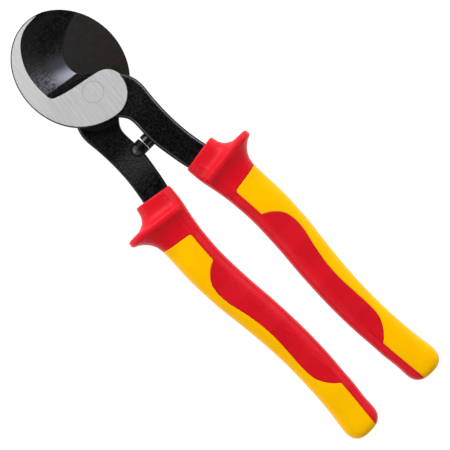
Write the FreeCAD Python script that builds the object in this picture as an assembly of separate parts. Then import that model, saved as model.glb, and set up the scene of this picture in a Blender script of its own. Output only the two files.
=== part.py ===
"""Insulated high-leverage cable cutter: two forged levers lapped on one pivot, with moulded grips.

Frame, in millimetres: the origin is on the pivot axis, on the ground rear face of the head.
+Y runs up through the cutting head, -Y down the handles, +X to the right and +Z out of the front
face, the face on which the bright ground jaw with its handle on the right is seen.

The front lever is modelled with the lap plane, where the two jaws slide on each other, at z = 0.
The rear lever is the same forging turned half round about Y, and so is its grip.
"""
import FreeCAD, Part
import math
import os

V = FreeCAD.Vector

# Head
JAW_T = 7.0               # thickness of each jaw
LAP_GAP = 0.02            # from the lap plane to each jaw's lapped face
HEAD_CENTRE = (0.0, 15.0)
HEAD_A = 24.6             # half width of the closed head
HEAD_B = 29.0             # half height of its ellipse
LOBE = (5.9, -3.2)        # centre of the round corner of the pivot boss
LOBE_R = 8.4
LOBE_FOOT_R = 9.4         # the same corner where its wall meets the lap plane
LOBE_START = 78.5         # degrees: where the boss wall runs into that corner
BOSS = (2.15, -3.15)     # centre of the boss's lower round
BOSS_R = 12.15
PAD_R = 17.2              # lapped pad round the pivot
HEEL_START = 245.9        # degrees round the head, where its ellipse runs into the boss
HEEL_MIDDLE = (-4.0, -14.15)
TIP_START = 10.0          # degrees round the head: below here the throat cuts all of the jaw away
SHOULDER_Y = 20.0         # the blank's corner inside the throat
RIM_R = 0.6               # rounding of the ground face's outer rim

# The bevel runs from the cutting edge, on the lap plane, up to the inner border of the bright land.
CUTTING_EDGE = [(24.0, 33.2), (18.5, 31.2), (12.5, 29.2), (8.0, 26.8), (4.5, 24.3),
                (2.1, 21.3), (0.65, 18.0), (0.3, 14.8), (0.5, 13.2)]
LAND_BORDER = [(12.0, 42.4), (5.0, 42.6), (-2.0, 42.0), (-7.7, 38.9), (-12.1, 33.7),
               (-15.2, 27.0), (-16.4, 20.0), (-16.5, 16.0), (-16.25, 13.2)]
THROAT_CORNER_FOOT = [(0.5, 13.2), (0.8, 12.1), (1.4, 11.2)]
THROAT_CORNER_TOP = [(-16.25, 13.2), (-15.6, 11.25), (-14.0, 10.15)]
BOSS_WALL_FOOT = [(1.4, 11.2), (2.7, 9.1), (5.0, 7.25)]
BOSS_WALL_TOP = [(-14.0, 10.15), (-8.0, 8.2), (0.0, 6.6)]
# Height as a share of the jaw's thickness, and how far the hollow bevel has then come across.
BEVEL_STEPS = [(-0.15, -0.25), (0.0, 0.0), (0.2, 0.36), (0.5, 0.70), (1.0, 1.0), (1.15, 1.07)]

# Pivot rivet, flush with both ground faces
RIVET_R = 4.0
RIVET_HEAD_R = 5.0
RIVET_HEAD_DEPTH = 1.6
RUNNING_GAP = 0.03        # radial, in the front lever only

# Tang of the front lever: y, inner x, outer x, lower z, upper z
TANG = [(-1.0, 2.0, 13.7, 0.3, 6.1), (-4.0, 1.5, 15.75, 0.3, 6.1), (-8.0, 0.0, 17.5, 0.3, 6.1),
        (-12.0, -0.9, 18.15, 0.3, 6.1), (-16.0, -0.1, 18.0, 0.3, 6.1), (-18.0, 1.6, 17.75, 0.3, 6.1),
        (-20.0, 2.7, 17.55, 0.3, 6.1), (-23.0, 3.2, 17.35, 0.3, 6.1), (-27.0, 3.1, 17.15, 0.25, 6.1),
        (-31.0, 2.9, 17.1, -0.4, 5.9), (-36.0, 3.05, 17.25, -1.9, 5.5), (-42.0, 3.9, 17.75, -3.6, 4.9),
        (-48.0, 4.9, 18.65, -4.4, 4.6), (-54.0, 6.2, 19.9, -4.5, 4.5), (-62.0, 8.3, 21.8, -4.5, 4.5)]
# Its straight-sided continuation, hidden in the grip
TANG_CORE = [TANG[-1], (-75.0, 11.8, 24.2, -4.5, 4.5), (-95.0, 13.7, 25.1, -4.5, 4.5),
             (-120.0, 12.3, 23.1, -4.4, 4.4), (-145.0, 11.2, 21.3, -4.2, 4.2),
             (-170.0, 12.3, 21.8, -4.0, 4.0), (-189.5, 14.5, 22.8, -3.5, 3.5)]
TANG_EDGE_R = 1.5

# Closing stops
STOP_R = 3.55
STOP_Y = -32.65
STOP_ROOT_X = 3.9         # where the stop's round end begins
STOP_FACE = [(0.6, -28.2), (0.05, -31.9), (0.05, -37.8)]     # eased at its upper side

SLEEVE_T = 1.3            # inner insulating sleeve, moulded straight on to the tang

# Grip: each guard section runs from an inner point to an outer point, with a half thickness.
GUARD = [((5.4, -54.4), (23.5, -51.45), 10.0), ((5.55, -57.0), (24.1, -54.3), 10.0),
         ((5.75, -59.2), (24.9, -56.4), 10.05), ((5.9, -61.0), (26.5, -58.3), 10.25),
         ((6.1, -62.5), (29.6, -59.8), 11.1), ((6.35, -63.6), (36.2, -60.0), 12.6),
         ((6.4, -64.1), (36.95, -60.6), 13.1), ((6.85, -66.3), (37.05, -62.7), 13.1),
         ((6.95, -66.8), (36.5, -63.3), 12.7), ((7.05, -67.3), (34.4, -64.2), 12.05),
         ((7.3, -68.3), (32.2, -65.9), 11.35), ((7.6, -69.8), (30.4, -68.0), 10.6),
         ((8.0, -71.9), (29.2, -70.4), 9.95), ((8.5, -74.8), (28.6, -73.4), 9.5)]
GUARD_POWER = 4.5         # squarer corners than the handle
GRIP_TOP_Y = -79.0
GRIP_INNER = [(-79.0, 9.1), (-87.0, 9.8), (-96.0, 10.0), (-110.0, 9.4), (-125.0, 8.25),
              (-140.0, 7.6), (-152.0, 7.55), (-165.0, 8.2), (-178.0, 9.3), (-190.0, 10.3)]
GRIP_OUTER = [(-79.0, 28.8), (-87.0, 29.2), (-96.0, 29.25), (-110.0, 28.45), (-125.0, 26.7),
              (-140.0, 25.4), (-152.0, 25.0), (-165.0, 25.25), (-178.0, 26.2), (-190.0, 27.75)]
GRIP_SEAT = 0.35          # the front lever's grip is seated this much lower, the rear lever's higher
GRIP_STATIONS = 13
GRIP_HALF_TOP = 9.4       # half thickness just under the guard
GRIP_HALF_END = 9.0
GRIP_END_Y = -190.0       # where the rounded end begins
GRIP_END_LENGTH = 7.95
GRIP_END_LEAN = 0.3       # how far the very end has moved outward
GRIP_END_POWER = 2.6      # how squarely it closes in width,
GRIP_END_FACE_POWER = 5.0    # and in thickness
GRIP_END_STEPS = (0.35, 0.6, 0.8, 0.92, 0.985)
SECTION_POWER = 3.4       # superellipse power of the grip's cross-section
SECTION_POINTS = 24

# Borders between the colours, as seen on the front face of the right grip
SPINE_BORDER = [(14.1, -78.2), (14.9, -90.0), (15.0, -101.0), (14.3, -114.0), (13.2, -134.0),
                (12.6, -154.0), (13.0, -171.0), (14.3, -187.0), (15.6, -200.0)]
PANEL_TOP = [(15.4, -76.8), (20.0, -76.0), (24.0, -75.4), (28.2, -74.3), (34.0, -72.2)]
PANEL_CORNER = [(14.1, -78.2), (14.45, -77.2), (15.4, -76.8)]
WAVE = [(12.0, -91.6), (15.2, -92.6), (20.0, -95.6), (23.4, -100.3), (24.25, -106.0), (22.5, -117.5),
        (20.4, -129.0), (20.0, -140.0), (20.6, -153.0), (19.8, -164.0), (15.9, -170.1), (10.0, -174.5)]
INSET_FLOOR_Z = 7.4       # underside of the soft inset pads
FAR = 45.0                # beyond every part, for cutting tools
ABOVE_Y = 60.0            # above the head
SLIVER = 1.0              # mm3: anything smaller is left over from a cut

# Turning a grip over for the rear lever swaps its faces.
OTHER_FACE = {"front_pad": "rear_pad", "rear_pad": "front_pad"}


def at(point, z):
    return V(point[0], point[1], z)


def line(a, b, z):
    return Part.LineSegment(at(a, z), at(b, z)).toShape()


def arc(points, z):
    return Part.Arc(*[at(point, z) for point in points]).toShape()


def curve(points, z):
    spline = Part.BSplineCurve()
    spline.interpolate([at(point, z) for point in points])
    return spline.toShape()


def blend(foot, top, share):
    """Points part of the way from one outline to the other."""
    return [tuple(a + (b - a) * share for a, b in zip(p, q)) for p, q in zip(foot, top)]


def on_circle(centre, radius, degrees):
    angle = math.radians(degrees)
    return (centre[0] + radius * math.cos(angle), centre[1] + radius * math.sin(angle))


def on_head(degrees):
    """A point on the ellipse of the closed head."""
    angle = math.radians(degrees)
    return (HEAD_CENTRE[0] + HEAD_A * math.cos(angle), HEAD_CENTRE[1] + HEAD_B * math.sin(angle))


def prism(edges, bottom, top):
    return Part.Face(Part.Wire(edges)).extrude(V(0, 0, top - bottom))


def turned(shape):
    """The rear lever's copy of a front lever shape: half a turn about Y."""
    copy = shape.copy()
    copy.rotate(V(0, 0, 0), V(0, 1, 0), 180)
    return copy


def head_blank():
    """Jaw and pivot boss before the throat is cut."""
    z = LAP_GAP
    heel = on_head(HEEL_START)
    boss_bottom = on_circle(BOSS, BOSS_R, 270)
    boss_right = on_circle(BOSS, BOSS_R, 0)
    foot_right = on_circle(LOBE, LOBE_FOOT_R, 0)
    shoulder = (foot_right[0], SHOULDER_Y)
    right = on_head(TIP_START)
    ellipse = Part.Ellipse(at(on_head(90), z), at(on_head(180), z), at(HEAD_CENTRE, z))
    first = ellipse.parameter(at(right, z))
    last = ellipse.parameter(at(heel, z))
    edges = [Part.ArcOfEllipse(ellipse, first, last).toShape()]
    edges.append(arc([heel, HEEL_MIDDLE, boss_bottom], z))
    edges.append(arc([boss_bottom, on_circle(BOSS, BOSS_R, 315), boss_right], z))
    edges.append(line(boss_right, foot_right, z))
    edges.append(line(foot_right, shoulder, z))
    edges.append(line(shoulder, right, z))
    blank = prism(edges, z, JAW_T)
    rim = [edge for edge in blank.Edges
           if edge.BoundBox.ZMin > JAW_T - 0.1 and edge.Curve.TypeId != "Part::GeomLine"]
    return blank.makeFillet(RIM_R, rim)


def throat_section(height, share):
    """Outline of the space between bevel and boss at one height above the lap plane."""
    z = height * JAW_T
    border = blend(CUTTING_EDGE, LAND_BORDER, share)
    corner = blend(THROAT_CORNER_FOOT, THROAT_CORNER_TOP, share)
    radius = LOBE_FOOT_R + (LOBE_R - LOBE_FOOT_R) * share
    lobe_start = on_circle(LOBE, radius, LOBE_START)
    lobe_end = on_circle(LOBE, radius, 0)
    middle = on_circle(LOBE, radius, LOBE_START / 2)
    wall = blend(BOSS_WALL_FOOT, BOSS_WALL_TOP, share) + [lobe_start]
    low_right = (FAR, LOBE[1])
    high_right = (FAR, ABOVE_Y)
    high_left = (border[0][0], ABOVE_Y)
    edges = [curve(border, z), arc(corner, z), curve(wall, z)]
    edges.append(arc([lobe_start, middle, lobe_end], z))
    edges.append(line(lobe_end, low_right, z))
    edges.append(line(low_right, high_right, z))
    edges.append(line(high_right, high_left, z))
    edges.append(line(high_left, border[0], z))
    return Part.Wire(edges)


def throat():
    return Part.makeLoft([throat_section(*step) for step in BEVEL_STEPS], True, False)


def rounded_section(y, x0, x1, z0, z1, radius):
    """Rounded rectangle in a plane of constant y."""
    half = radius * (1 - math.sqrt(0.5))

    def p(x, z):
        return V(x, y, z)

    def side(a, b):
        return Part.LineSegment(a, b).toShape()

    def corner(a, b, c):
        return Part.Arc(a, b, c).toShape()

    r = radius
    edges = [side(p(x0 + r, z0), p(x1 - r, z0)),
             corner(p(x1 - r, z0), p(x1 - half, z0 + half), p(x1, z0 + r)),
             side(p(x1, z0 + r), p(x1, z1 - r)),
             corner(p(x1, z1 - r), p(x1 - half, z1 - half), p(x1 - r, z1)),
             side(p(x1 - r, z1), p(x0 + r, z1)),
             corner(p(x0 + r, z1), p(x0 + half, z1 - half), p(x0, z1 - r)),
             side(p(x0, z1 - r), p(x0, z0 + r)),
             corner(p(x0, z0 + r), p(x0 + half, z0 + half), p(x0 + r, z0))]
    return Part.Wire(edges)


def tang():
    """The part of the tang that shows, from the pivot boss into the grip's collar."""
    wires = [rounded_section(*station, TANG_EDGE_R) for station in TANG]
    return Part.makeLoft(wires, True, False)


def tang_core(wall=0.0):
    """The part of the tang inside the grip, or with a wall added, the sleeve's outer form."""
    wires = []
    for y, x0, x1, z0, z1 in TANG_CORE:
        end = y - wall if y == TANG_CORE[-1][0] else y
        wires.append(rounded_section(end, x0 - wall, x1 + wall, z0 - wall, z1 + wall,
                                     TANG_EDGE_R + wall))
    return Part.makeLoft(wires, True, True)


def lapped_pad(shank):
    """Disc of the tang round the pivot that is ground level with the lapped jaw face."""
    lowered = shank.copy()
    lowered.translate(V(0, 0, LAP_GAP - TANG[0][3]))
    disc = Part.makeCylinder(PAD_R, JAW_T / 2, V(0, 0, LAP_GAP))
    return lowered.common(disc)


def stop():
    """Round boss on the tang's inner side that meets its twin when the jaws are closed."""
    bar = Part.makeCylinder(STOP_R, STOP_ROOT_X + STOP_R, V(-STOP_R, STOP_Y, 0), V(1, 0, 0))
    end = Part.makeSphere(STOP_R, V(STOP_ROOT_X, STOP_Y, 0))
    upper, _, lower = STOP_FACE
    outline = STOP_FACE + [(-FAR, lower[1]), (-FAR, upper[1]), upper]
    edges = [line(a, b, -FAR) for a, b in zip(outline, outline[1:])]
    return bar.fuse(end).cut(prism(edges, -FAR, FAR))


def rivet_solid(gap):
    """Countersunk rivet on the pivot axis, or its hole when gap is the clearance."""
    shank = Part.makeCylinder(RIVET_R + gap, 2 * JAW_T, V(0, 0, -JAW_T))
    head = Part.makeCone(RIVET_R + gap, RIVET_HEAD_R + gap, RIVET_HEAD_DEPTH,
                         V(0, 0, JAW_T - RIVET_HEAD_DEPTH))
    return shank.fuse(head).fuse(turned(head)).removeSplitter()


def forging():
    """The lever without its pivot hole."""
    jaw = head_blank().cut(throat())
    shank = tang()
    return jaw.fuse([shank, tang_core(), lapped_pad(shank), stop()]).removeSplitter()


def cubic(points, y):
    """Value at y of a smooth curve through (y, value) points, listed from high y to low."""
    last = len(points) - 2
    i = 0
    while i < last and y < points[i + 1][0]:
        i += 1
    (y0, v0), (y1, v1) = points[i], points[i + 1]
    before = points[max(i - 1, 0)]
    after = points[min(i + 2, len(points) - 1)]
    slope0 = (v1 - before[1]) / (y1 - before[0])
    slope1 = (after[1] - v0) / (after[0] - y0)
    step = y1 - y0
    t = (y - y0) / step
    return ((2 * t**3 - 3 * t**2 + 1) * v0 + (t**3 - 2 * t**2 + t) * step * slope0
            + (3 * t**2 - 2 * t**3) * v1 + (t**3 - t**2) * step * slope1)


def grip_section(inner, outer, half_thickness, power):
    """Closed superellipse that stands on the line from the inner to the outer point."""
    middle = V((inner[0] + outer[0]) / 2, (inner[1] + outer[1]) / 2, 0)
    across = V((outer[0] - inner[0]) / 2, (outer[1] - inner[1]) / 2, 0)
    points = []
    for i in range(SECTION_POINTS):
        angle = 2 * math.pi * i / SECTION_POINTS
        u = math.copysign(abs(math.cos(angle)) ** (2 / power), math.cos(angle))
        w = math.copysign(abs(math.sin(angle)) ** (2 / power), math.sin(angle))
        points.append(middle + across * u + V(0, 0, half_thickness * w))
    spline = Part.BSplineCurve()
    spline.interpolate(points, PeriodicFlag=True)
    return Part.Wire([spline.toShape()])


def narrowing(reach, power):
    """Share of the full size that is left this far into the rounded end."""
    return (1 - reach**power) ** (1 / power)


def grip_station(y, reach=0.0):
    """Grip section at y; reach is how far into the rounded end that is, as a share of it."""
    side_y = max(y, GRIP_END_Y)
    inner = cubic(GRIP_INNER, side_y)
    outer = cubic(GRIP_OUTER, side_y)
    middle = (inner + outer) / 2 + GRIP_END_LEAN * reach
    half_width = (outer - inner) / 2 * narrowing(reach, GRIP_END_POWER)
    along = (GRIP_TOP_Y - side_y) / (GRIP_TOP_Y - GRIP_END_Y)
    half = GRIP_HALF_TOP + (GRIP_HALF_END - GRIP_HALF_TOP) * along
    half *= narrowing(reach, GRIP_END_FACE_POWER)
    return grip_section((middle - half_width, y), (middle + half_width, y), half, SECTION_POWER)


def grip_skin():
    """Outer form of the whole grip: collar, guard, handle and rounded end."""
    top = [grip_section(*section, GUARD_POWER) for section in GUARD]
    top.append(grip_station(GRIP_TOP_Y))
    guard = Part.makeLoft(top, True, True)
    span = (GRIP_END_Y - GRIP_TOP_Y) / (GRIP_STATIONS - 1)
    wires = [grip_station(GRIP_TOP_Y + span * i) for i in range(GRIP_STATIONS)]
    wires += [grip_station(GRIP_END_Y - GRIP_END_LENGTH * reach, reach) for reach in GRIP_END_STEPS]
    handle = Part.makeLoft(wires, True, False)
    return guard.fuse(handle)


def yellow_side():
    """Everything outward of the spine's border and below the guard."""
    last = SPINE_BORDER[-1]
    out = (FAR, PANEL_TOP[-1][1])
    edges = [curve(SPINE_BORDER, -FAR), arc(PANEL_CORNER, -FAR), curve(PANEL_TOP, -FAR),
             line(PANEL_TOP[-1], out, -FAR), line(out, (FAR, last[1]), -FAR),
             line((FAR, last[1]), last, -FAR)]
    return prism(edges, -FAR, FAR)


def wave_side(bottom, top):
    """The inset pad's outline, open towards the spine."""
    return prism([curve(WAVE, bottom), line(WAVE[-1], WAVE[0], bottom)], bottom, top)


def grip_pieces(seat):
    """The moulded pieces of one grip, by name, for the handle on the right; seat moves it along Y."""
    skin = grip_skin()
    yellow = yellow_side()
    wave = wave_side(INSET_FLOOR_Z, FAR)
    under = wave_side(-FAR, -INSET_FLOOR_Z)
    for shape in (skin, yellow, wave, under):
        shape.translate(V(0, seat, 0))
    metal = tang_core()
    core = tang_core(SLEEVE_T)
    outward = skin.common(yellow)
    upper_pad = outward.common(wave)
    lower_pad = outward.common(under)
    return {"inner_sleeve": core.cut(metal),
            "yellow_body": outward.cut([wave, under, core]),
            "guard_and_spine": skin.cut([yellow, core, tang()]),
            "front_pad": upper_pad, "rear_pad": lower_pad}


def solid_of(shape):
    """The one solid that a boolean result holds."""
    solids = [solid for solid in shape.Solids if solid.Volume > SLIVER]
    if len(solids) != 1:
        raise ValueError("expected one solid, found %d" % len(solids))
    return solids[0]


def save(name, shape):
    solid = solid_of(shape)
    solid.translate(V(0, 0, JAW_T))
    if not solid.isValid():
        raise ValueError(name + " is not a valid solid")
    box = solid.BoundBox
    print("%-24s %8.0f mm3  x %6.1f %6.1f  y %6.1f %6.1f  z %5.1f %5.1f"
          % (name, solid.Volume, box.XMin, box.XMax, box.YMin, box.YMax, box.ZMin, box.ZMax))
    solid.exportStep("parts/" + name + ".step")


def main():
    os.makedirs("parts", exist_ok=True)
    lever = forging()
    save("front_lever", lever.cut(rivet_solid(RUNNING_GAP)))
    save("rear_lever", turned(lever).cut(rivet_solid(0.0)))
    save("pivot_rivet", rivet_solid(0.0))
    for name, shape in grip_pieces(-GRIP_SEAT).items():
        save("right_" + name, shape)
    for name, shape in grip_pieces(GRIP_SEAT).items():
        save("left_" + OTHER_FACE.get(name, name), turned(shape))


main()
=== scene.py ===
"""Looks of the insulated cable cutter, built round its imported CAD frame."""
import bpy
import bmesh
import math
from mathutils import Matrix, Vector
from mathutils.bvhtree import BVHTree
from mathutils.interpolate import poly_3d_calc


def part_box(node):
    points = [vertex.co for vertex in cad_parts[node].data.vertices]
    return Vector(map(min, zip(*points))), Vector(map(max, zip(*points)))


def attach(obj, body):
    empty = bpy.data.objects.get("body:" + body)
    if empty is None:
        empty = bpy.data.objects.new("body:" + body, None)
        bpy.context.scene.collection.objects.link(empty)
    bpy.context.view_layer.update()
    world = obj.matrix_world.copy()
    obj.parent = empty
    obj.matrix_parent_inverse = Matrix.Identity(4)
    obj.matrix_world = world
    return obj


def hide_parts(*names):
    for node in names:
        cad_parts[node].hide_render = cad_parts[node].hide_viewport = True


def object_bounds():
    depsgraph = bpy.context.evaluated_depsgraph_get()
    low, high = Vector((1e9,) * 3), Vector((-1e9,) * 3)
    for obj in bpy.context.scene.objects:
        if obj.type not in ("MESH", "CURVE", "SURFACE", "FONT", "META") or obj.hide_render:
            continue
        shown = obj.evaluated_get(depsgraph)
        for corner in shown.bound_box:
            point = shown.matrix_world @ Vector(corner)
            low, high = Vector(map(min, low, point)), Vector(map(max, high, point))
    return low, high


MM = 0.001

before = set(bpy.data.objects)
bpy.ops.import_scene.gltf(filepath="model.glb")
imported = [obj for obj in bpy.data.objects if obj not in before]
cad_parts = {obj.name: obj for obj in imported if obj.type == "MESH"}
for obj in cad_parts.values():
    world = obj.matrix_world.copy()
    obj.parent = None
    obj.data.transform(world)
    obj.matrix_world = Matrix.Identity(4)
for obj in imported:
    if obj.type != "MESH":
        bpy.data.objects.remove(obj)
cad_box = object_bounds()

# ---------------------------------------------------------------- where things are, from the frame
REAR_FACE_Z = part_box("rear_lever")[0].z
FRONT_FACE_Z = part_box("front_lever")[1].z
LAP_Z = (REAR_FACE_Z + FRONT_FACE_Z) / 2
GRIP_SIDES = {"left": "rear_handle", "right": "front_handle"}
RIVET_HEAD_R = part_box("pivot_rivet")[1].x
BRUSH_TURN = math.radians(-7)
RIVET_JOINT = (0.4, 0.1)      # millimetres in from the head's rim, over which its ring darkens
EDGE_BREAK = 0.15 * MM

# ---------------------------------------------------------------- small node helpers


class Nodes:
    """Builds a node material with short calls."""

    def __init__(self, name):
        self.material = bpy.data.materials.new(name)
        self.material.use_nodes = True
        self.tree = self.material.node_tree
        self.shader = self.tree.nodes["Principled BSDF"]
        texture = self.tree.nodes.new("ShaderNodeTexCoord")
        self.place, self.facing = texture.outputs["Object"], texture.outputs["Normal"]

    def add(self, kind, **settings):
        node = self.tree.nodes.new(kind)
        for key, value in settings.items():
            setattr(node, key, value)
        return node

    def feed(self, socket, value):
        if isinstance(value, bpy.types.NodeSocket):
            self.tree.links.new(value, socket)
        else:
            socket.default_value = value

    def stretched(self, scale, turn=0.0):
        """Object coordinates turned about Z and then scaled, for grain along a direction."""
        mapping = self.add("ShaderNodeMapping", vector_type="TEXTURE")
        self.feed(mapping.inputs["Vector"], self.place)
        mapping.inputs["Rotation"].default_value = (0, 0, turn)
        mapping.inputs["Scale"].default_value = scale
        return mapping.outputs["Vector"]

    def noise(self, scale, detail=2.0, roughness=0.5, place=None):
        """Noise with scale features per millimetre."""
        node = self.add("ShaderNodeTexNoise")
        self.feed(node.inputs["Vector"], place or self.place)
        node.inputs["Scale"].default_value = scale / MM
        node.inputs["Detail"].default_value = detail
        node.inputs["Roughness"].default_value = roughness
        return node.outputs["Fac"]

    def voronoi(self, scale):
        node = self.add("ShaderNodeTexVoronoi")
        self.feed(node.inputs["Vector"], self.place)
        node.inputs["Scale"].default_value = scale / MM
        return node.outputs["Distance"]

    def ramp(self, value, low, high, low_out=0.0, high_out=1.0):
        node = self.add("ShaderNodeMapRange", interpolation_type="SMOOTHSTEP")
        self.feed(node.inputs["Value"], value)
        for key, number in (("From Min", low), ("From Max", high), ("To Min", low_out), ("To Max", high_out)):
            self.feed(node.inputs[key], number)
        return node.outputs["Result"]

    def maths(self, operation, *values):
        node = self.add("ShaderNodeMath", operation=operation)
        for socket, value in zip(node.inputs, values):
            self.feed(socket, value)
        return node.outputs[0]

    def mix(self, share, a, b):
        node = self.add("ShaderNodeMix", data_type="RGBA")
        self.feed(node.inputs["Factor"], share)
        self.feed(node.inputs["A"], a)
        self.feed(node.inputs["B"], b)
        return node.outputs["Result"]

    def blend(self, share, a, b):
        """A plain number part of the way from a to b."""
        node = self.add("ShaderNodeMix", data_type="FLOAT")
        self.feed(node.inputs["Factor"], share)
        self.feed(node.inputs["A"], a)
        self.feed(node.inputs["B"], b)
        return node.outputs["Result"]

    def axis(self, letter, vector=None):
        node = self.add("ShaderNodeSeparateXYZ")
        self.feed(node.inputs[0], vector or self.place)
        return node.outputs[letter]

    def rise(self, value, low, high):
        """0 below low and 1 above high, both in millimetres."""
        return self.ramp(value, low * MM, high * MM)

    def fall(self, value, low, high):
        """1 below low and 0 above high, both in millimetres."""
        return self.ramp(value, low * MM, high * MM, 1.0, 0.0)

    def times(self, first, *others):
        for other in others:
            first = self.maths("MULTIPLY", first, other)
        return first

    def rest_of(self, value):
        return self.maths("SUBTRACT", 1.0, value)

    def window(self, value, low, high, soft):
        """1 between low and high, easing to 0 within soft outside them."""
        return self.times(self.ramp(value, low - soft, low), self.ramp(value, high, high + soft, 1.0, 0.0))

    def bump(self, height, distance, strength=1.0, under=None):
        """distance is the real height of the relief in millimetres."""
        node = self.add("ShaderNodeBump")
        self.feed(node.inputs["Height"], height)
        node.inputs["Distance"].default_value = distance * MM
        self.feed(node.inputs["Strength"], strength)
        if under is not None:
            self.feed(node.inputs["Normal"], under)
        return node.outputs["Normal"]

    def eased_edges(self):
        """The normal with sharp edges eased, as a fine edge break."""
        node = self.add("ShaderNodeBevel", samples=6)
        node.inputs["Radius"].default_value = EDGE_BREAK
        return node.outputs["Normal"]

    def set(self, **values):
        for key, value in values.items():
            self.feed(self.shader.inputs[key.replace("_", " ")], value)


def colour(red, green, blue):
    """Linear colour from display values of 0 to 255."""
    def linear(value):
        value /= 255
        return value / 12.92 if value <= 0.04045 else ((value + 0.055) / 1.055) ** 2.4
    return (linear(red), linear(green), linear(blue), 1.0)


# ---------------------------------------------------------------- materials

def brushed(m):
    """Grinding marks, fine and broad together, a little off the tool's length."""
    fine = m.noise(1.0, 4.0, 0.6, m.stretched((0.12, 3.2, 1.0), BRUSH_TURN))
    broad = m.noise(1.0, 3.0, 0.6, m.stretched((0.8, 16.0, 1.0), BRUSH_TURN))
    return m.blend(0.6, fine, broad)


# Where a lever's looks change, in millimetres: height from the lap plane towards the lever's ground face,
# along the tool from the pivot, and sideways from the pivot towards the lever's own handle.
# A pair is where a change begins and ends. An upright of 1 faces straight out, and 0 sideways.
LAND_SKIN = (0.08, 0.03)                  # below the ground face
LAND_UPRIGHT = (0.95, 0.99)
LAPPED_HEIGHT = (0.05, 0.15)              # above and below the lap plane
LAPPED_END = (-17.6, -17.3)
# the tang's outer edges: smoother and glossier, and painted lighter as a painted highlight
EDGE_GLOSS_AND_HIGHLIGHT_UPRIGHT = (0.84, 0.93)
EDGE_GLOSS_AND_HIGHLIGHT_SOFT = 0.06
EDGE_GLOSS_AND_HIGHLIGHT_HEIGHT = (1.5, 3.0)
EDGE_GLOSS_AND_HIGHLIGHT_END = (-3.0, -1.0)
# the stop: smoother and glossier, and painted lighter as a painted glint
STOP_ALONG = (-36.3, -29.0)
STOP_SOFT = 0.2
STOP_HEIGHT = (-2.5, -2.1)
STOP_SIDEWAYS = (3.2, 4.6)
STOP_GLOSS_AND_GLINT = 0.75
BEVEL_FOOT = (11.5, 12.4)                 # the bevel's lower border
BEVEL_FOOT_LEAN = 0.115                   # and how far it drops for each millimetre sideways
POLISH_FADE = (17.0, 30.0)                # along, over which the bevel's polish fades out
EDGE_POLISH = (0.5, 3.8)                  # height of the polish next to the cutting edge
EDGE_POLISH_END = (19.0, 27.0)            # along, at the middle
EDGE_POLISH_LEAN = 0.9
PATCH_POLISH = 0.8                        # how polished the worn patches above it are
PAINTED_HIGHLIGHT_HEIGHT = (1.2, 4.0)                # a painted highlight, the brightest part of the polish, at the bevel's foot
PAINTED_HIGHLIGHT_END = (13.2, 19.0)
PAINTED_HIGHLIGHT_LEAN = 0.3
WALL_FOOT = (4.0, 5.0)                    # the pivot boss's wall, up to the bevel's foot
TANG_SHEEN = (-24.0, -17.0)               # along, over which the tang's sheen grows
BROWN_SPREAD = (-25.0, 15.0)              # across the lapped face, from grey-black to brown-black
LAND_PAINTED_LIGHT = (2.0, 26.0)                  # along, over which the land is painted lighter, as painted light


def lever_masks(m, face_z, outward):
    """The place along the lever, and where each of its finishes and painted highlights lies, from 0 to 1."""
    height = m.maths("MULTIPLY", m.maths("SUBTRACT", m.axis("Z"), LAP_Z), outward)
    along, sideways = m.axis("Y"), m.maths("MULTIPLY", m.axis("X"), outward)
    upright = m.maths("ABSOLUTE", m.axis("Z", m.facing))
    depth = abs(face_z - LAP_Z) / MM
    ground = m.times(m.rise(height, *(depth - below for below in LAND_SKIN)), m.ramp(upright, *LAND_UPRIGHT))
    lapped = m.times(m.rest_of(m.rise(m.maths("ABSOLUTE", height), *LAPPED_HEIGHT)), m.rise(along, *LAPPED_END))
    # the tang's outer edges, and the stop where it stands out of the tang's inner face, are smoother and glossier,
    # and are painted lighter as a painted highlight and a painted glint
    glossy_edge_and_painted_highlight = m.times(m.window(upright, *EDGE_GLOSS_AND_HIGHLIGHT_UPRIGHT, EDGE_GLOSS_AND_HIGHLIGHT_SOFT), m.rise(height, *EDGE_GLOSS_AND_HIGHLIGHT_HEIGHT),
                        m.fall(along, *EDGE_GLOSS_AND_HIGHLIGHT_END))
    glossy_stop_and_painted_glint = m.times(m.window(along, *(end * MM for end in STOP_ALONG), STOP_SOFT * MM),
                        m.fall(height, *STOP_HEIGHT), m.rise(sideways, *STOP_SIDEWAYS), STOP_GLOSS_AND_GLINT)
    smooth = m.maths("MAXIMUM", glossy_edge_and_painted_highlight, glossy_stop_and_painted_glint)
    # the bevel is polished near its cutting edge and worn in patches above it
    above_foot = m.rise(m.maths("MULTIPLY_ADD", sideways, BEVEL_FOOT_LEAN, along), *BEVEL_FOOT)
    bevel = m.times(above_foot, m.fall(along, *POLISH_FADE), m.rest_of(lapped))
    near_edge = m.times(m.fall(height, *EDGE_POLISH),
                        m.fall(m.maths("MULTIPLY_ADD", sideways, EDGE_POLISH_LEAN, along), *EDGE_POLISH_END))
    patches = m.ramp(m.noise(0.9, 4.0, 0.75), 0.58, 0.42)
    polish = m.times(bevel, m.maths("MAXIMUM", near_edge, m.times(patches, PATCH_POLISH)))
    # a painted highlight on the polish at the bevel's foot, next to the cutting edge
    painted_highlight_foot = m.times(m.fall(height, *PAINTED_HIGHLIGHT_HEIGHT),
                          m.fall(m.maths("MULTIPLY_ADD", sideways, PAINTED_HIGHLIGHT_LEAN, along), *PAINTED_HIGHLIGHT_END))
    wall = m.times(m.rise(along, *WALL_FOOT), m.rest_of(lapped), m.rest_of(above_foot))
    return along, ground, lapped, smooth, polish, painted_highlight_foot, wall


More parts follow.
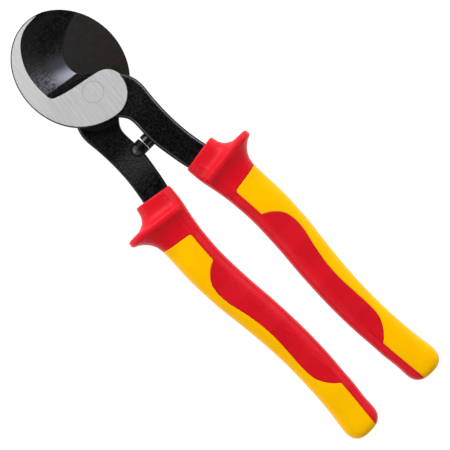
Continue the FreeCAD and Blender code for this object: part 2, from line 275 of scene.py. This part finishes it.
def lever_material(name, face_z, outward):
    """Black forged steel, with the ground land bright and the lapped face smooth brown-black."""
    m = Nodes(name)
    along, ground, lapped, smooth, polish, painted_highlight_foot, wall = lever_masks(m, face_z, outward)
    speck = m.noise(1.1, 3.0, 0.7)
    cloud = m.noise(0.25, 3.0, 0.5)
    brush = brushed(m)

    black = m.mix(m.ramp(speck, 0.45, 0.66), colour(3, 3, 4), colour(31, 31, 33))
    black = m.mix(m.ramp(cloud, 0.35, 0.7, 0.0, 0.35), black, colour(12, 12, 13))
    # painted highlight and glint: the tang's edges and the stop painted lighter
    black = m.mix(smooth, black, colour(42, 42, 44))
    # the bevel's polish, with a painted highlight at its foot
    black = m.mix(polish, black, m.mix(painted_highlight_foot, colour(80, 82, 90), colour(158, 162, 174)))
    across = m.maths("SUBTRACT", m.axis("X"), m.axis("Y"))
    brown = m.mix(m.rise(across, *BROWN_SPREAD), colour(34, 33, 34), colour(34, 28, 23))
    brown = m.mix(m.ramp(m.noise(0.5, 4.0, 0.6), 0.35, 0.7, 0.0, 0.6), brown, colour(25, 22, 20))
    bright = m.mix(m.ramp(brush, 0.25, 0.75), colour(169, 168, 168), colour(205, 204, 204))
    bright = m.mix(m.ramp(m.noise(0.22, 3.0), 0.4, 0.7, 0.0, 0.4), bright, colour(188, 187, 187))
    # painted light: the land painted lighter towards the jaw's tip
    bright = m.mix(m.times(m.rise(along, *LAND_PAINTED_LIGHT), 0.35), bright, colour(214, 214, 213))
    m.set(Base_Color=m.mix(ground, m.mix(lapped, black, brown), bright))
    m.set(Metallic=m.blend(ground, m.times(polish, 0.85), 0.25))

    rough = m.blend(polish, m.ramp(speck, 0.3, 0.75, 0.3, 0.42), 0.42)
    rough = m.blend(lapped, rough, m.ramp(m.noise(1.2, 3.0), 0.3, 0.7, 0.3, 0.4))
    m.set(Roughness=m.blend(ground, rough, 0.5))
    sheen = m.blend(m.rise(along, *TANG_SHEEN), 0.1, 0.2)
    sheen = m.blend(wall, m.blend(lapped, sheen, 0.28), 0.03)
    m.set(Specular_IOR_Level=m.blend(ground, m.blend(smooth, sheen, 0.8), 0.3))

    forged = m.times(m.rest_of(ground), m.rest_of(lapped), m.rest_of(m.times(polish, 0.75)),
                     m.rest_of(m.times(smooth, 0.7)), 0.7)
    relief = m.bump(m.voronoi(1.3), 0.1, forged, m.eased_edges())
    relief = m.bump(speck, 0.08, forged, relief)
    relief = m.bump(brush, 0.012, m.times(ground, 0.5), relief)
    m.set(Normal=relief)
    return m.material


def rivet_material():
    """Ground flush with the land, with the joint round it showing as a fine grey ring."""
    m = Nodes("rivet_steel")
    brush = brushed(m)
    bright = m.mix(m.ramp(brush, 0.25, 0.75), colour(172, 171, 171), colour(204, 203, 203))
    radius = m.maths("SQRT", m.maths("ADD", m.maths("POWER", m.axis("X"), 2.0), m.maths("POWER", m.axis("Y"), 2.0)))
    joint = m.ramp(radius, *(RIVET_HEAD_R - inside * MM for inside in RIVET_JOINT))
    m.set(Base_Color=m.mix(joint, bright, colour(160, 159, 158)))
    m.set(Metallic=0.25, Roughness=0.5, Specular_IOR_Level=0.3, Normal=m.bump(brush, 0.012, 0.5))
    return m.material


def plastic_material(name, base, shade, gleam, roughness, specular=0.35):
    """Moulded plastic: base colour with a faint cloud of shade, and a fine spark-eroded grain."""
    m = Nodes(name)
    cloud = m.noise(0.09, 3.0)
    speck = m.noise(2.2, 2.0)
    tint = m.mix(m.ramp(cloud, 0.3, 0.75), base, shade)
    m.set(Base_Color=m.mix(m.ramp(speck, 0.5, 0.8, 0.0, 0.3), tint, shade))
    m.set(Roughness=m.ramp(speck, 0.2, 0.8, roughness - 0.06, roughness + 0.06))
    m.set(Specular_IOR_Level=specular, Specular_Tint=gleam)
    m.set(Normal=m.bump(m.noise(3.2, 3.0), 0.03, 0.5))
    return m.material


# ---------------------------------------------------------------- moulded grips
#
# Each moulded piece is its CAD node remeshed finely, with the CAD's flat facets smoothed away, its
# edges softened so that a fine groove shows where two colours meet, and its moulded details added.
# The details are the same on both faces of both grips, so they are written once for a point at
# (out, y, rise): out from the tool's middle line, y along it, rise above or below the lap plane.

VOXEL = 0.33 * MM
FORM_VOXEL = 0.5 * MM
FORM_ROUNDS = 9
EDGE_ROUNDS = 2
SKIN = 0.3 * MM               # a point this near the grip's outside is on its skin
REACH = 3.0 * MM              # and one deeper than this keeps its place
JOINT = 0.45 * MM             # a point this near the neighbouring piece is drawn in to their joint
JOINT_RISE = 0.15 * MM        # a joint within one colour shows as a fine raised line
# and at the borders between the colours the yellow and the pads are filled out and the guard sinks a little
BORDER_RISE = {"_yellow_body": 0.12 * MM, "_guard_and_spine": -0.06 * MM,
               "_front_pad": 0.1 * MM, "_rear_pad": 0.1 * MM}
SEAT = (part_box("left_guard_and_spine")[1].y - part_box("right_guard_and_spine")[1].y) / 2

# Where the details lie, in millimetres: y along a grip that is seated at 0, and out from the middle.
CHAMFER_OUT, CHAMFER_RISE, CHAMFER_LEAN = 9.7, 10.0, math.radians(38)
CHAMFER_ENDS = (-63.5, -60.0)
PARTING = [(10.9, -57.0), (12.4, -62.0), (13.3, -68.5), (13.7, -72.0), (14.1, -78.2)]
PARTING_RISE = 0.24
FACETS = [-92.0, -104.0, -114.0, -124.0, -134.0, -145.0, -155.0, -165.0, -176.0]
FACET_RISE = 0.3


def part_of(name):
    return name[name.index("_"):]


def is_red(name):
    return part_of(name) != "_yellow_body"


def smoothstep(low, high, value):
    share = min(max((value - low) / (high - low), 0.0), 1.0)
    return share * share * (3 - 2 * share)


def line_out(points, y):
    """out at y on a line through (out, y) points that run down the grip."""
    for (x0, y0), (x1, y1) in zip(points, points[1:]):
        if y >= y1:
            return x0 + (x1 - x0) * (y - y0) / (y1 - y0)
    return points[-1][0]


def facet_rise(y):
    """Shallow flats across the red of the handle, which meet in low ridges and hollows."""
    for i, (upper, lower) in enumerate(zip(FACETS, FACETS[1:])):
        if lower <= y <= upper:
            share = (upper - y) / (upper - lower)
            return FACET_RISE * (share - 1 if i % 2 else -share)
    return 0.0


def moulded_rise(out, y, flatness):
    """Inward or outward move of a red skin point, in millimetres; flatness is 1 on a grip's face, 0 on its side."""
    move = facet_rise(y)
    if PARTING[-1][1] < y < PARTING[0][1]:
        move += PARTING_RISE * smoothstep(0.65, 0.0, abs(out - line_out(PARTING, y)))
    return move * smoothstep(0.5, 0.9, flatness)


def at_joint(name, point, trees):
    """Sideways pull that closes the joint with the nearest piece, and the rise of the skin along it."""
    pull, rise, nearest = Vector((0, 0, 0)), 0.0, JOINT
    for other, tree in trees.items():
        spot, _, _, gap = tree.find_nearest(point, JOINT)
        if other != name and spot is not None and gap < nearest:
            nearest = gap
            close = smoothstep(JOINT, 0.0, gap)
            pull = (spot - point) * close
            one_colour = is_red(name) and is_red(other)
            rise = close * (JOINT_RISE if one_colour else BORDER_RISE[part_of(name)])
    return pull, rise


def chamfer_cut(out, y, rise):
    """How far a point stands proud of the flat along the collar's inner corner."""
    proud = (CHAMFER_OUT - out) * math.sin(CHAMFER_LEAN) + (rise - CHAMFER_RISE) * math.cos(CHAMFER_LEAN)
    return max(proud, 0.0) * smoothstep(*CHAMFER_ENDS, y)


def joined(name, nodes):
    """One mesh of the given CAD nodes together."""
    bm = bmesh.new()
    for node in nodes:
        bm.from_mesh(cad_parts[node].data)
    bmesh.ops.remove_doubles(bm, verts=bm.verts, dist=0.001 * MM)
    mesh = bpy.data.meshes.new(name)
    bm.to_mesh(mesh)
    bm.free()
    return mesh


def remeshed(name, mesh, voxel, rounds):
    """The mesh in even cells of voxel size, smoothed."""
    source = bpy.data.objects.new(name + "_source", mesh)
    bpy.context.scene.collection.objects.link(source)
    fine = source.modifiers.new("fine", "REMESH")
    fine.mode = "VOXEL"
    fine.voxel_size = voxel
    fine.use_smooth_shade = True
    if rounds:
        smooth = source.modifiers.new("smooth", "SMOOTH")
        smooth.factor = 0.5
        smooth.iterations = rounds
    ready = source.evaluated_get(bpy.context.evaluated_depsgraph_get())
    result = bpy.data.meshes.new_from_object(ready)
    bpy.data.objects.remove(source)
    result.name = name
    return result


def tree_of(mesh):
    points = [vertex.co.copy() for vertex in mesh.vertices]
    return BVHTree.FromPolygons(points, [tuple(face.vertices) for face in mesh.polygons])


class Form:
    """The outside of one whole grip, and how smoothing it moves each place on it."""

    def __init__(self, side):
        solid = joined(side + "_solid", [side + part for part in (*BORDER_RISE, "_inner_sleeve")])
        self.rough = remeshed(side + "_rough", solid, FORM_VOXEL, 0)
        smooth = remeshed(side + "_smooth", solid, FORM_VOXEL, FORM_ROUNDS)
        self.shifts = [b.co - a.co for a, b in zip(self.rough.vertices, smooth.vertices)]
        self.tree = tree_of(self.rough)

    def place(self, point):
        """Nearest place on the outside: its normal, the smoothing shift there and the depth."""
        spot, normal, index, depth = self.tree.find_nearest(point)
        corners = self.rough.polygons[index].vertices
        weights = poly_3d_calc([self.rough.vertices[i].co for i in corners], spot)
        shift = Vector((0, 0, 0))
        for weight, i in zip(weights, corners):
            shift += self.shifts[i] * weight
        return normal, shift, depth


def moulded_point(name, start, form, trees):
    """Where a point of the remeshed piece goes."""
    normal, shift, depth = form.place(start)
    if depth > REACH:
        return start
    point = start + shift
    skin = smoothstep(2 * SKIN, SKIN, depth)
    if skin > 0:
        pull, along_joint = at_joint(name, start, trees)
        point += (pull + normal * along_joint) * skin
        sign = 1 if name.startswith("right") else -1
        out, rise = sign * point.x / MM, abs(point.z - LAP_Z) / MM
        y = point.y / MM + sign * SEAT / MM
        if is_red(name):
            point += normal * skin * moulded_rise(out, y, abs(normal.z)) * MM
        lean = Vector((-sign * math.sin(CHAMFER_LEAN), 0.0,
                       math.copysign(math.cos(CHAMFER_LEAN), point.z - LAP_Z)))
        point -= lean * skin * chamfer_cut(out, y, rise) * MM
    return point


def moulded_pieces(side):
    """The four visible pieces of one grip."""
    form = Form(side)
    trees = {side + part: tree_of(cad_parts[side + part].data) for part in BORDER_RISE}
    for name in trees:
        mesh = remeshed(name, joined(name + "_joined", [name]), VOXEL, EDGE_ROUNDS)
        for vertex in mesh.vertices:
            vertex.co = moulded_point(name, vertex.co.copy(), form, trees)
        mesh.materials.clear()
        mesh.materials.append(material_of(name))
        piece = bpy.data.objects.new(name.replace("_body", "_grip") + "_skin", mesh)
        bpy.context.scene.collection.objects.link(piece)
        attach(piece, GRIP_SIDES[side])
        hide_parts(name)


# ---------------------------------------------------------------- put them on

WHITE_GLEAM = (1.0, 1.0, 1.0, 1.0)
RED_GLEAM = (1.0, 0.6, 0.62, 1.0)
YELLOW_GLEAM = (1.0, 0.78, 0.05, 1.0)
MATERIALS = {
    "front_lever": lever_material("front_lever_steel", FRONT_FACE_Z, 1.0),
    "rear_lever": lever_material("rear_lever_steel", REAR_FACE_Z, -1.0),
    "pivot_rivet": rivet_material(),
    "inner_sleeve": plastic_material("inner_plastic", colour(235, 225, 190), colour(228, 216, 178),
                                     WHITE_GLEAM, 0.4),
    "yellow_body": plastic_material("yellow_plastic", colour(252, 189, 0), colour(248, 182, 0),
                                    YELLOW_GLEAM, 0.46, 0.2),
    "guard_and_spine": plastic_material("red_plastic", colour(218, 6, 30), colour(208, 3, 26),
                                        RED_GLEAM, 0.48),
    "pad": plastic_material("soft_red", colour(209, 3, 28), colour(200, 2, 24), RED_GLEAM, 0.5),
}


def material_of(node):
    short = node.split("_", 1)[1] if node.startswith(("left_", "right_")) else node
    return MATERIALS["pad" if short.endswith("pad") else short]


for name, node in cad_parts.items():
    node.data.materials.clear()
    node.data.materials.append(material_of(name))

for side in GRIP_SIDES:
    moulded_pieces(side)


# ---------------------------------------------------------------- floor, light and camera

FLOOR_HALF = 3.0              # metres from the middle to each edge
FLOOR_TONES = (0.07, 0.09)    # a light table, dark in itself so that no colour is cast on it
FLOOR_GLOW = 1.0              # and glowing, so that shadows stay faint
VIEW_WIDTH = 204.5 * MM       # width of what the camera sees, at the object
VIEW_CENTRE = Vector((-0.1 * MM, -84.7 * MM, LAP_Z))
VIEW_ROLL = math.radians(-44.8)
LENS = 250.0
SENSOR = 36.0
SKY_HEIGHTS = (0.5, 0.88)     # upward parts of a direction where the surroundings give way to the ceiling
SKY_HORIZON = 1.0             # brightness of the white surroundings
SKY_OVERHEAD = 0.05           # and of the dark ceiling, which keeps flat black faces black
SKY_NEAR = 0.5                # share of it left on the side of the handles' ends
SKY_SIDES = (-0.8, 0.2)       # parts of a direction along +Y between which that share grows to all of it
# Each lamp: degrees round from +X towards +Y, degrees from overhead, size across and along, power
LAMPS = {
    "key_light": (68, 46, (0.6, 0.6), 10.8),
    "edge_light": (8, 62, (0.12, 0.7), 3.6),
    "fill_light": (155, 60, (0.4, 0.6), 4.4),
}
LAMP_DISTANCE = 1.27


def make_camera():
    data = bpy.data.cameras.new("camera")
    data.lens = LENS
    data.sensor_width = SENSOR
    camera = bpy.data.objects.new("camera", data)
    bpy.context.scene.collection.objects.link(camera)
    camera.location = VIEW_CENTRE + Vector((0, 0, VIEW_WIDTH * LENS / SENSOR))
    camera.rotation_euler = (0, 0, VIEW_ROLL)
    bpy.context.scene.camera = camera


def make_floor():
    mesh = bpy.data.meshes.new("floor")
    half, z = FLOOR_HALF, cad_box[0].z
    mesh.from_pydata([(-half, -half, z), (half, -half, z), (half, half, z), (-half, half, z)], [], [(0, 1, 2, 3)])
    floor = bpy.data.objects.new("floor", mesh)
    bpy.context.scene.collection.objects.link(floor)
    m = Nodes("floor_white")
    dark, light = ((tone, tone, tone, 1) for tone in FLOOR_TONES)
    m.set(Base_Color=m.mix(m.noise(0.002, 2.0), dark, light), Roughness=0.9, Specular_IOR_Level=0.0)
    m.set(Emission_Color=(1.0, 1.0, 1.0, 1.0), Emission_Strength=FLOOR_GLOW)
    mesh.materials.append(m.material)


def make_sky():
    world = bpy.data.worlds.new("world")
    world.use_nodes = True
    tree = world.node_tree
    split = tree.nodes.new("ShaderNodeSeparateXYZ")
    tree.links.new(tree.nodes.new("ShaderNodeTexCoord").outputs["Generated"], split.inputs[0])

    def graded(letter, kind, ends, values):
        node = tree.nodes.new("ShaderNodeMapRange")
        node.interpolation_type = kind
        for key, number in zip(("From Min", "From Max", "To Min", "To Max"), (*ends, *values)):
            node.inputs[key].default_value = number
        tree.links.new(split.outputs[letter], node.inputs["Value"])
        return node.outputs["Result"]

    product = tree.nodes.new("ShaderNodeMath")
    product.operation = "MULTIPLY"
    tree.links.new(graded("Z", "SMOOTHSTEP", SKY_HEIGHTS, (SKY_HORIZON, SKY_OVERHEAD)), product.inputs[0])
    tree.links.new(graded("Y", "LINEAR", SKY_SIDES, (SKY_NEAR, 1.0)), product.inputs[1])
    background = tree.nodes["Background"]
    tree.links.new(product.outputs[0], background.inputs["Strength"])
    background.inputs["Color"].default_value = (1, 1, 1, 1)
    bpy.context.scene.world = world


def make_lamp(name, towards, from_overhead, size, power):
    around, down = math.radians(towards), math.radians(from_overhead)
    lean = Vector((math.cos(around) * math.sin(down), math.sin(around) * math.sin(down), math.cos(down)))
    data = bpy.data.lights.new(name, "AREA")
    data.shape = "RECTANGLE"
    data.size, data.size_y = size
    data.energy = power
    lamp = bpy.data.objects.new(name, data)
    bpy.context.scene.collection.objects.link(lamp)
    lamp.location = VIEW_CENTRE + lean * LAMP_DISTANCE
    lamp.rotation_euler = (-lean).to_track_quat("-Z", "Y").to_euler()


def make_light():
    make_sky()
    for name, settings in LAMPS.items():
        make_lamp(name, *settings)
    bpy.context.scene.view_settings.view_transform = "Standard"


make_camera()
make_light()
make_floor()
